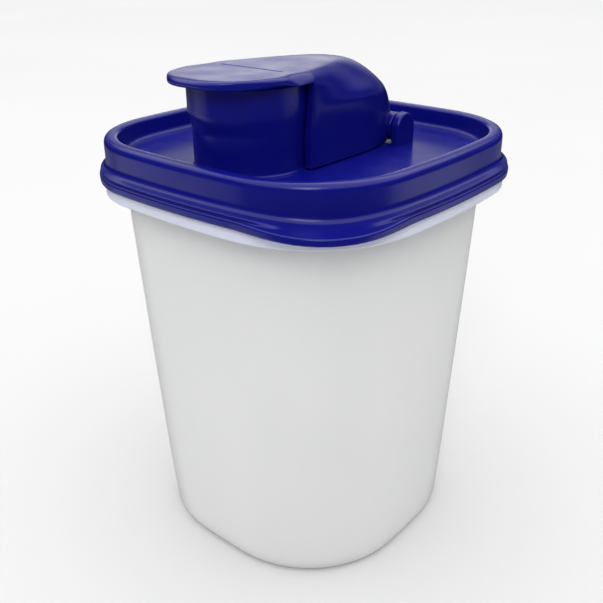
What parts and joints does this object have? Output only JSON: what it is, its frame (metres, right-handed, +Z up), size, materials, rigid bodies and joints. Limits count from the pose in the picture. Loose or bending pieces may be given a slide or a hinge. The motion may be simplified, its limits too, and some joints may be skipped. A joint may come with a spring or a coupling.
{
  "type": "cereal dispenser",
  "caption": "Rounded-square translucent food container with a press-on blue lid, a raised pouring spout and a hinged flip cap with a thumb lip.",
  "frame": {"origin": "centre of the base, on the surface that the container stands on", "axes": "+Z up; -Y towards the end of the spout and the thumb lip; the cap's hinge is parallel to X and behind the spout"},
  "size_m": [0.131, 0.131, 0.179],
  "materials": {
    "translucent_container": "natural translucent polypropylene, satin",
    "blue_lid": "deep blue polyethylene, semi-gloss",
    "blue_cap": "deep blue polypropylene, semi-gloss"
  },
  "bodies": {
    "container": {"container": "translucent_container"},
    "lid": {"pouring_lid": "blue_lid"},
    "cap": {"flip_cap": "blue_cap"}
  },
  "joints": [
    {"name": "lid_lift", "type": "slide", "parent": "container", "child": "lid", "axis": [0, 0, 1], "range_m": [0, 0.03]},
    {"name": "cap_hinge", "type": "hinge", "parent": "lid", "child": "cap", "pos_m": [0, 0.026, 0.1541], "axis": [-1, 0, 0], "range_deg": [0, 90]}
  ]
}
